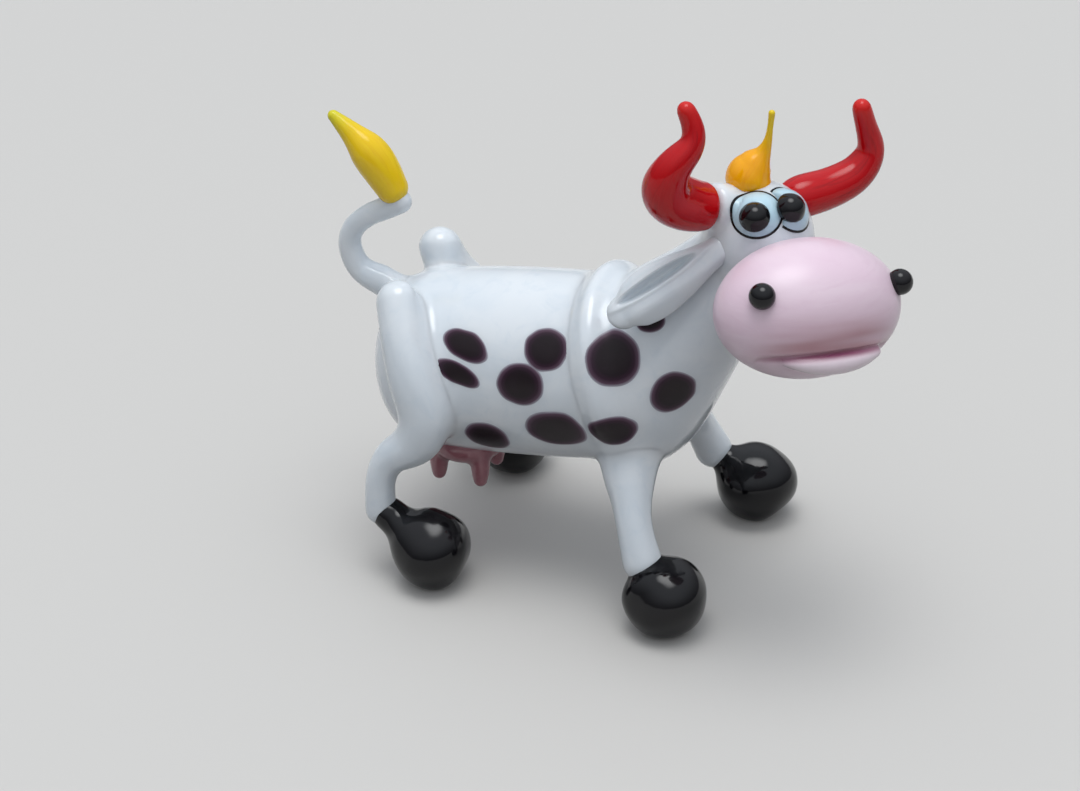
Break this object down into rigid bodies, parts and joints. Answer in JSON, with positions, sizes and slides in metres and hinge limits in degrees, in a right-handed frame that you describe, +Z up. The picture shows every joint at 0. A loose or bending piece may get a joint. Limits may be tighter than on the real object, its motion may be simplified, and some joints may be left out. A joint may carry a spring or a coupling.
{
  "type": "glass cow figurine",
  "caption": "Small flame-worked glass cow on ball hooves, with a big pink muzzle, curved horns, drawn forelock, leaf ears, dark spots and a raised tufted tail; a shelf ornament.",
  "frame": {"origin": "middle of the bounding box in plan, on the level the hooves rest on", "axes": "+X from the tail to the head, +Y to the animal's left, +Z up"},
  "size_m": [0.048, 0.0256, 0.043],
  "materials": {
    "white_glass": "opal white glass, fire polished, faintly cloudy",
    "pink_glass": "opaque pale pink glass, fire polished",
    "lip_glass": "pale pink glass strand with a little magenta bleed at the mouth",
    "udder_glass": "dusky pink glass, fire polished",
    "red_glass": "opaque red glass, fire polished, lightly streaked",
    "orange_glass": "opaque orange yellow glass, fire polished",
    "yellow_glass": "opaque yellow glass, fire polished",
    "eye_glass": "pale blue white glass dot",
    "black_glass": "opaque black glass, fire polished, high gloss",
    "spot_glass": "flat dark dot melted flush, purple at its rim"
  },
  "bodies": {
    "root": {"chest": "white_glass", "chest_spots_left": "spot_glass", "chest_spots_right": "spot_glass", "forelock": "orange_glass", "head": "white_glass", "left_ear": "white_glass", "left_eye_rim": "black_glass", "left_eye_white": "eye_glass", "left_front_hoof": "black_glass", "left_front_leg": "white_glass", "left_hind_hoof": "black_glass", "left_hind_leg": "white_glass", "left_horn": "red_glass", "left_nostril": "black_glass", "left_pupil": "black_glass", "lower_lip": "lip_glass", "muzzle": "pink_glass", "right_ear": "white_glass", "right_eye_rim": "black_glass", "right_eye_white": "eye_glass", "right_front_hoof": "black_glass", "right_front_leg": "white_glass", "right_hind_hoof": "black_glass", "right_hind_leg": "white_glass", "right_horn": "red_glass", "right_nostril": "black_glass", "right_pupil": "black_glass", "tail": "white_glass", "tail_tuft": "yellow_glass", "teats": "udder_glass", "trunk": "white_glass", "trunk_spots_left": "spot_glass", "trunk_spots_right": "spot_glass", "udder": "udder_glass"}
  },
  "joints": []
}
